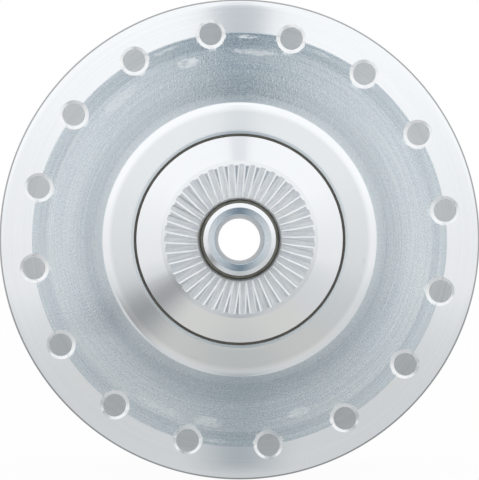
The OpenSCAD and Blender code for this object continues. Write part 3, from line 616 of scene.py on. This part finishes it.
# zone of each cap face; a later line wins over an earlier one
def capZones(side):
    def zoneOf(centre, normal, at):
        c = cap
        r, h, up = facePlace(centre, normal, side)
        face, clampR, deep, hair = c["faceH"], c["clampR"], c["grooveDeep"], c["hair"]
        zone = np.full(len(r), at["inside"])
        zone[h > c["back"][side] + hair] = at["cone"]
        zone[(r > clampR) & (r < clampR + c["bevel"]) & (h > face - c["bevel"] - hair)] = at["bevel"]
        onFace = (r < clampR + deep) & (h > face - deep - hair)
        zone[onFace & (up > c["level"])] = at["floor"]
        zone[onFace & (up > c["steep"]) & (up < c["level"]) & (r < clampR)] = at["flank"]
        zone[(r < clampR) & (h > face - 2 * hair) & (up > c["level"])] = at["ridge"]
        zone[(r < c["grooveFrom"]) & (r > c["stemR"] + hair) & (h > face - c["lip"] - hair)] = at["floor"]
        return zone
    return zoneOf


# groove floors: grain and fine streaks that run along the groove, a little dirt at the inner edge
clampLook = {"dark": (0.79, 0.82, 0.845), "light": (0.985, 0.995, 1.0), "dirt": (0.60, 0.575, 0.52),
             "rough": 0.5, "roughSpread": 0.12, "streakTurns": 36, "streakLong": 3.3333,
             "grainScale": 7000.0, "lineShare": 0.8, "toneSpan": (0.38, 0.62), "dirtFrom": 5.1,
             "dirtTo": 5.8, "dirtScale": 900.0, "dirtSpan": (0.4, 0.7), "dirtLeast": 0.1, "dirtMost": 0.8,
             "bump": 0.25, "bumpDeep": 0.02}
flankLook = {**polishLook, "dark": (0.90, 0.91, 0.92), "light": (0.94, 0.947, 0.953), "line": 0.2,
             "lineTurns": 1.0, "rough": 0.28, "stretch": 0.0}
ridgeLook = {**plainDish, "rough": 0.4, "pebble": 0.6, "dark": (0.80, 0.855, 0.89),
             "light": (0.93, 0.96, 0.98), "line": 0.12, "speckTurns": 30}
clampBevelLook = {**polishLook, "dark": (0.86, 0.872, 0.888), "light": (0.90, 0.91, 0.922), "rough": 0.26}


def clampMetal(name, look):
    material, tree, shader = newMaterial(name)
    place, radius, outward, _ = axlePlace(tree)
    lines = ringNoise(tree, outward, radius, look["streakLong"], look["streakTurns"], detail=3.0, rough=0.65)
    grain = noise(tree, place, look["grainScale"], detail=3.0)
    tone = noiseTone(tree, grain, lines, look["lineShare"], look["toneSpan"])
    colour = blendColour(tree, tone, look["dark"], look["light"])
    worn = span(tree, radius, look["dirtFrom"] * mm, look["dirtTo"] * mm, 1.0, 0.0)
    spots = noise(tree, place, look["dirtScale"], detail=4.0, rough=0.7)
    spots = span(tree, spots, *look["dirtSpan"], look["dirtLeast"], look["dirtMost"])
    worn = times(tree, worn, spots)
    colour = blendColour(tree, worn, colour, look["dirt"])
    spread = look["roughSpread"]
    rough = sums(tree, "MULTIPLY_ADD", grain, spread, look["rough"] - spread / 2)
    bump = put(tree, "Bump", {"Strength": look["bump"], "Distance": look["bumpDeep"] * mm,
                              "Height": sums(tree, "ADD", grain, lines)})
    feed(tree, shader, {"Base Color": colour, "Roughness": rough, "Metallic": 1.0, "Normal": bump.outputs[0]})
    return material


capFinishes = {"cone": turnedMetal("polishedAluminium", polishLook),
               "floor": clampMetal("grooveFloor", clampLook), "flank": turnedMetal("grooveFlank", flankLook),
               "ridge": turnedMetal("grooveRidge", ridgeLook),
               "bevel": turnedMetal("clampBevel", clampBevelLook), "inside": shellFinishes["inside"]}


# the right cap also has a window for the terminals and a slot for the leads
def makeCap(side):
    c = cap
    piece = ringPiece(side + "CapTurned", capGrid(side))
    if side == "right":
        wide, base, low, thick = c["window"]
        high = (wide / 2, low + thick, base + c["rimR"])
        cutAway(piece, blockPiece("window", (-wide / 2, low, base), high))
        cutAway(piece, blockPiece("leadSlot", (-c["slotWide"] / 2, c["seat"]["right"] - c["clear"], 0),
                                  (c["slotWide"] / 2, c["slotEnd"], base + c["clear"])))
    paintZones(piece, capFinishes, capZones(side))
    dress(piece, "axle", side + "_end_cap", c["sharp"])


for side in ("left", "right"):
    makeCap(side)


# axle: bevelled tips with a turned end face, stems, bearing seats and two clip grooves
axle = {"boreR": 3.1, "boreBevel": 0.05, "tipR": 4.5, "tipBevel": 0.55, "tipH": 54.5, "neckR": 4.3,
        "neckH": 50.1, "stemH": 49.0, "stemR": 5.0, "seatR": 6.0, "midR": 7.0, "clipDeep": 0.6,
        "statorH": 13.0, "clipWide": 1.0, "seat": {"left": (45.0, 37.0), "right": (39.4, 31.4)},
        "slot": (2.45, 4.55, 14.5, 45.7), "clear": 1.0, "hair": 0.01, "around": 256}


# profile of one half, from the middle of the bore round the tip to the middle of the outside
def axleHalf(side):
    a = axle
    top, low = a["seat"][side]
    tipR, tipH, neckH, stemH, midR = (a[key] for key in ("tipR", "tipH", "neckH", "stemH", "midR"))
    clipR, clipH = midR - a["clipDeep"], a["statorH"] + a["clipWide"]
    return [(a["boreR"], 0.0), (a["boreR"], tipH - a["boreBevel"]), (a["boreR"] + a["boreBevel"], tipH),
            (tipR - a["tipBevel"], tipH), (tipR, tipH - a["tipBevel"]), (tipR, neckH), (a["neckR"], neckH),
            (a["neckR"], stemH), (a["stemR"], stemH), (a["stemR"], top), (a["seatR"], top), (a["seatR"], low),
            (midR, low), (midR, clipH), (clipR, clipH), (clipR, a["statorH"]), (midR, a["statorH"]),
            (midR, 0.0)]


axleEndLook = {**plainDish, "pebble": 0.4, "dark": (0.84, 0.90, 0.94), "light": (0.97, 0.995, 1.0),
               "line": 0.12, "lineTurns": 2.0, "speckTurns": 6, "speckShare": 0.35, "spread": 0.16,
               "rough": 0.25, "roughSpread": 0.03, "bump": 0.1}
axleSideLook = {**barrelLook, "dark": (0.60, 0.61, 0.62), "light": (0.72, 0.725, 0.73), "line": 0.25,
                "speckTurns": 14, "rough": 0.3, "bump": 0.1}
boreLook = {**axleSideLook, "dark": (0.52, 0.66, 0.78), "light": (0.78, 0.92, 1.0), "rough": 0.12,
            "bump": 0.02, "metal": 0.62, "sheen": 0.0}
axleBevelLook = {**polishLook, "rough": 0.24}
axleFinishes = {"side": turnedMetal("turnedAxle", axleSideLook),
                "end": turnedMetal("turnedAxleEnd", axleEndLook),
                "bevel": turnedMetal("axleBevel", axleBevelLook), "bore": turnedMetal("axleBore", boreLook)}


def makeAxle():
    a = axle
    left = np.array(axleHalf("left"))
    right = np.array(axleHalf("right")) * (1, -1)
    path = closedLoop(left, right[::-1])
    piece = turnedPiece("axleTurned", path, "left", a["around"])
    wide, floor, low, high = a["slot"]
    cutAway(piece, blockPiece("leadSlot", (-wide / 2, low, floor), (wide / 2, high, a["midR"] + a["clear"])))

    def zoneOf(centre, normal, at):
        r, h, hair = np.hypot(centre[:, 0], centre[:, 2]), np.abs(centre[:, 1]), a["hair"]
        bevelR, bevelH = a["tipR"] - a["tipBevel"], a["tipH"] - a["tipBevel"]
        zone = np.full(len(r), at["side"])
        zone[h > a["tipH"] - hair] = at["end"]
        zone[r < a["boreR"] + a["boreBevel"]] = at["bore"]
        zone[(r > bevelR - hair) & (h > bevelH - hair) & (h < a["tipH"] - 2 * hair)] = at["bevel"]
        return zone

    paintZones(piece, axleFinishes, zoneOf)
    dress(piece, "axle", "axle")


makeAxle()


# finishes of the CAD nodes that stay: colour and bump from grain and broad clouds on object coordinates
plain = {"cloudSize": 14, "cloudShare": 0.5, "toneSpan": (0.35, 0.65), "roughSpread": 0.2, "bumpDeep": 0.02}


def plainLook(dark, light, grain, rough, bump, metal=0.0):
    return {"dark": dark, "light": light, "grain": grain, "rough": rough, "bump": bump, "metal": metal}


def plainFinish(name, look):
    material, tree, shader = newMaterial(name)
    place = put(tree, "TexCoord").outputs["Object"]
    grain = noise(tree, place, 1 / (look["grain"] * mm), detail=3.0, rough=0.6)
    cloud = noise(tree, place, 1 / (look["grain"] * plain["cloudSize"] * mm), detail=3.0, rough=0.55)
    tone = noiseTone(tree, grain, cloud, plain["cloudShare"], plain["toneSpan"])
    colour = blendColour(tree, tone, look["dark"], look["light"])
    spread = plain["roughSpread"]
    rough = sums(tree, "MULTIPLY_ADD", grain, spread, look["rough"] - spread / 2)
    bump = put(tree, "Bump", {"Strength": look["bump"], "Distance": plain["bumpDeep"] * mm, "Height": grain})
    feed(tree, shader, {"Base Color": colour, "Roughness": rough, "Metallic": look["metal"],
                        "Normal": bump.outputs[0]})
    return material


# wound wire: fine lines round the axle for the winding
windingLook = {"dark": (0.36, 0.13, 0.05), "light": (0.80, 0.40, 0.20), "line": 0.5, "lineTurns": 0.3,
               "speck": 0.3, "speckTurns": 20, "speckShare": 0.1, "spread": 0.18, "rough": 0.3,
               "roughSpread": 0.05, "bump": 0.8, "stretch": 0.0}
nodeLooks = {
    "sealRubber": plainLook((0.035, 0.035, 0.033), (0.07, 0.068, 0.062), 0.12, 0.55, 0.2),
    "lipRubber": plainLook((0.27, 0.25, 0.22), (0.45, 0.425, 0.375), 0.12, 0.5, 0.2),
    "oilyRing": plainLook((0.13, 0.13, 0.108), (0.33, 0.32, 0.27), 0.1, 0.4, 0.3),
    "bearingSteel": plainLook((0.56, 0.57, 0.58), (0.68, 0.69, 0.70), 0.2, 0.25, 0.05, 1.0),
    "ballSteel": plainLook((0.74, 0.75, 0.76), (0.82, 0.83, 0.84), 0.3, 0.14, 0.02, 1.0),
    "springSteel": plainLook((0.22, 0.23, 0.26), (0.36, 0.37, 0.40), 0.15, 0.38, 0.12, 1.0),
    "statorSteel": plainLook((0.30, 0.31, 0.33), (0.44, 0.45, 0.47), 0.16, 0.42, 0.2, 1.0),
    "platedMagnet": plainLook((0.36, 0.36, 0.37), (0.50, 0.50, 0.50), 0.2, 0.33, 0.1, 1.0),
    "leadCopper": plainLook((0.55, 0.22, 0.09), (0.82, 0.42, 0.22), 0.12, 0.28, 0.08, 1.0),
    "tinnedBrass": plainLook((0.66, 0.62, 0.50), (0.82, 0.79, 0.70), 0.14, 0.3, 0.1, 1.0),
    "blockPlastic": plainLook((0.028, 0.028, 0.03), (0.055, 0.055, 0.058), 0.09, 0.5, 0.25),
    "bobbinPlastic": plainLook((0.05, 0.045, 0.04), (0.10, 0.09, 0.08), 0.1, 0.48, 0.2),
    "cagePlastic": plainLook((0.42, 0.29, 0.14), (0.58, 0.43, 0.24), 0.1, 0.45, 0.2),
}
nodeFinish = {name: plainFinish(name, look) for name, look in nodeLooks.items()}
nodeFinish["woundCopper"] = turnedMetal("woundCopper", windingLook)


# the left and the right node of a kind
def both(kind):
    return ["left_" + kind, "right_" + kind]


nodeDress = {"oilyRing": both("axle_ring"), "lipRubber": both("lip_seal"),
             "sealRubber": ["cover_o_ring", *both("bearing_shields")],
             "bearingSteel": both("bearing_inner_ring") + both("bearing_outer_ring"),
             "ballSteel": both("balls"), "cagePlastic": both("ball_cage"), "springSteel": both("stator_clip"),
             "statorSteel": ["stator_core", *both("claw_plate"), "rotor_yoke"],
             "platedMagnet": ["rotor_magnets"], "woundCopper": ["coil_winding"], "leadCopper": ["coil_leads"],
             "bobbinPlastic": ["coil_bobbin"], "blockPlastic": ["terminal_block"],
             "tinnedBrass": ["terminal_blades"]}
for finish, dressed in nodeDress.items():
    for node in dressed:
        nodes[node].data.materials.clear()
        nodes[node].data.materials.append(nodeFinish[finish])
print("CAD nodes dressed:", sum(len(dressed) for dressed in nodeDress.values()))


# flat card at one height, between two x and two y, in mm, with a material that is still empty
def flatCard(name, finish, x, y, h):
    corner = np.array([[x[0], y[0], h], [x[1], y[0], h], [x[1], y[1], h], [x[0], y[1], h]]) * mm
    mesh = bpy.data.meshes.new(name)
    mesh.from_pydata(corner.tolist(), [], [[0, 1, 2, 3]])
    card = bpy.data.objects.new(name, mesh)
    scene.collection.objects.link(card)
    material = bpy.data.materials.new(finish)
    material.use_nodes = True
    material.node_tree.nodes.clear()
    mesh.materials.append(material)
    return card, material.node_tree


# floor under the flanges: white to the camera, with a trace of shadow; reflections see a pale sheet with
# painted shade on it:
# grey near the hub as a painted shadow of the hub, a little warmer in front of it and lighter far off, with a
# painted dark strip towards the camera and a soft painted shadow at the foot of the hub in line with the
# axle; distances on the sheet are in metres
stage = {"floorH": -31.2, "half": 6000.0, "floorColour": (0.80, 0.79, 0.775), "cameraWhite": 0.96,
         "nearShadow": (0.654, 0.672, 0.686), "warm": (0.668, 0.67, 0.648), "warmAt": (-0.066, -0.060),
         "mid": (0.652, 0.672, 0.688), "midAt": (0.062, 0.082), "far": (0.86, 0.87, 0.88),
         "farAt": (0.035, 0.28), "reachScale": (1.6, 0.6, 0), "shadeStrip": (0.0, 0.08, 0.165),
         "shadeStripAside": (0.08, 0.17), "shadeStripAt": (-0.145, -0.085), "foot": (0.42, 0.455, 0.48),
         "footAside": (0.0, 0.26), "footIn": (0.0285, 0.033), "footLeast": 0.3, "footOut": (0.040, 0.056),
         "footRest": 0.38, "footEnd": (0.071, 0.080)}


def makeFloor():
    wide = (-stage["half"], stage["half"])
    floor, tree = flatCard("floor", "paleFloor", wide, wide, stage["floorH"])
    path = put(tree, "LightPath").outputs
    place = put(tree, "TexCoord").outputs["Object"]
    away = vectors(tree, "LENGTH", vectors(tree, "MULTIPLY", place, (1, 1, 0)))
    reach = vectors(tree, "LENGTH", vectors(tree, "MULTIPLY", place, stage["reachScale"]))
    parts = put(tree, "SeparateXYZ", {0: place}).outputs
    aside = sums(tree, "DIVIDE", sums(tree, "ABSOLUTE", parts["X"]), away)
    # colour that reflections see, with painted shadow: grey near the hub, lighter far off
    seen = blendColour(tree, span(tree, parts["Y"], *stage["warmAt"], 1.0, 0.0), stage["nearShadow"], stage["warm"])
    seen = blendColour(tree, span(tree, reach, *stage["midAt"], 0.0, 1.0), seen, stage["mid"])
    seen = blendColour(tree, span(tree, reach, *stage["farAt"], 0.0, 1.0), seen, stage["far"])
    # painted shade: a dark strip on the sheet towards the camera
    shadeStrip = times(tree, span(tree, aside, *stage["shadeStripAside"], 1.0, 0.0),
                  span(tree, parts["Y"], *stage["shadeStripAt"], 1.0, 0.0))
    seen = blendColour(tree, shadeStrip, seen, stage["shadeStrip"])
    # painted shadow: a soft dark foot next to the hub, in line with the axle
    foot = span(tree, aside, *stage["footAside"], 1.0, 0.0)
    for key, first, last in (("footOut", 1.0, stage["footRest"]), ("footEnd", 1.0, 0.0),
                             ("footIn", stage["footLeast"], 1.0)):
        foot = times(tree, foot, span(tree, away, *stage[key], first, last))
    seen = blendColour(tree, foot, seen, stage["foot"])
    sheet = put(tree, "BsdfDiffuse", {"Color": (*stage["floorColour"], 1)})
    white = put(tree, "Emission", {"Color": (1, 1, 1, 1), "Strength": 1.0})
    shown = put(tree, "Emission", {"Color": seen, "Strength": 1.0})
    amount = times(tree, path["Is Camera Ray"], stage["cameraWhite"])
    amount = sums(tree, "MAXIMUM", amount, path["Is Transmission Ray"])
    mixed = put(tree, "MixShader", {0: amount, 1: sheet.outputs[0], 2: white.outputs[0]})
    mixed = put(tree, "MixShader", {0: path["Is Glossy Ray"], 1: mixed.outputs[0], 2: shown.outputs[0]})
    put(tree, "OutputMaterial", {0: mixed.outputs[0]})


makeFloor()

# dark flag low on the left, which only reflections see: a painted dark reflection; it is densest at its
# middle and fades to both sides
reflectionFlag = {"x": (-37.0, -8.0), "y": (-84.0, -46.0), "h": -14.0, "colour": (0.16, 0.16, 0.16), "middle": -18.5,
        "reach": (18.0, 10.0), "cover": 0.6}


def makeFlag():
    card, tree = flatCard("reflectionFlag", "softFlagPaintedReflection", reflectionFlag["x"], reflectionFlag["y"], reflectionFlag["h"])
    card.visible_camera = False
    card.visible_diffuse = False
    card.visible_shadow = False
    card.visible_transmission = False
    across = put(tree, "SeparateXYZ", {0: put(tree, "TexCoord").outputs["Object"]}).outputs["X"]
    off = sums(tree, "SUBTRACT", across, reflectionFlag["middle"] * mm)
    left, right = reflectionFlag["reach"]
    cover = times(tree, span(tree, off, 0.0, -left * mm, reflectionFlag["cover"], 0.0),
                  span(tree, off, 0.0, right * mm, 1.0, 0.0))
    dark = put(tree, "Emission", {"Color": (*reflectionFlag["colour"], 1), "Strength": 1.0})
    clear = put(tree, "BsdfTransparent")
    mixed = put(tree, "MixShader", {0: cover, 1: clear.outputs[0], 2: dark.outputs[0]})
    put(tree, "OutputMaterial", {0: mixed.outputs[0]})


makeFlag()

# studio: a bright room, white to the camera, with a narrow dark slot behind it that pales as it rises
room = {"level": 0.895, "top": 1.0, "tint": (0.986, 1.0, 1.012), "levelAt": (0.0, 0.42),
        "slotHalf": (0.059, 0.043), "halfAt": (0.17, 0.42), "slotSoft": 0.025, "slotAhead": (-0.3, 0.0),
        "slotLow": (0.0, 0.05, 0.10), "slotHigh": (0.80, 0.83, 0.86), "slotAt": (0.17, 0.64)}


def makeRoom():
    world = bpy.data.worlds.new("studioRoom")
    scene.world = world
    world.use_nodes = True
    tree = world.node_tree
    tree.nodes.clear()
    way = put(tree, "TexCoord").outputs["Generated"]
    parts = put(tree, "SeparateXYZ", {0: way}).outputs
    level = span(tree, parts["Z"], *room["levelAt"], room["level"], room["top"])
    colour = blendColour(tree, level, (0.0, 0.0, 0.0), room["tint"])
    lift = sums(tree, "ABSOLUTE", parts["Z"])
    half = span(tree, lift, *room["halfAt"], *room["slotHalf"])
    past = sums(tree, "SUBTRACT", sums(tree, "ABSOLUTE", parts["X"]), half)
    inSlot = times(tree, span(tree, past, 0.0, room["slotSoft"], 1.0, 0.0),
                   span(tree, parts["Y"], *room["slotAhead"], 1.0, 0.0))
    slot = span(tree, lift, *room["slotAt"], 0.0, 1.0)
    slot = blendColour(tree, slot, room["slotLow"], room["slotHigh"])
    colour = blendColour(tree, inSlot, colour, slot)
    colour = blendColour(tree, put(tree, "LightPath").outputs["Is Camera Ray"], colour, (1.0, 1.0, 1.0))
    back = put(tree, "Background", {"Color": colour, "Strength": 1.0})
    put(tree, "OutputWorld", {0: back.outputs[0]})


makeRoom()

# camera near the axle line, at the distance that the photo's perspective gives, turned to the near flange
lens = {"away": 594.5, "aside": -0.35, "lift": -0.075, "aimAt": 28.0, "focal": 327.5, "sensor": 36.0,
        "clip": (0.01, 50.0)}
camera = bpy.data.objects.new("camera", bpy.data.cameras.new("camera"))
scene.collection.objects.link(camera)
camera.location = (lens["aside"] * mm, -lens["away"] * mm, lens["lift"] * mm)
camera.rotation_euler = (math.pi / 2, 0, math.atan2(lens["aside"], lens["away"] - lens["aimAt"]))
camera.data.lens = lens["focal"]
camera.data.sensor_width = lens["sensor"]
camera.data.clip_start, camera.data.clip_end = lens["clip"]
scene.camera = camera
print("camera and room set")
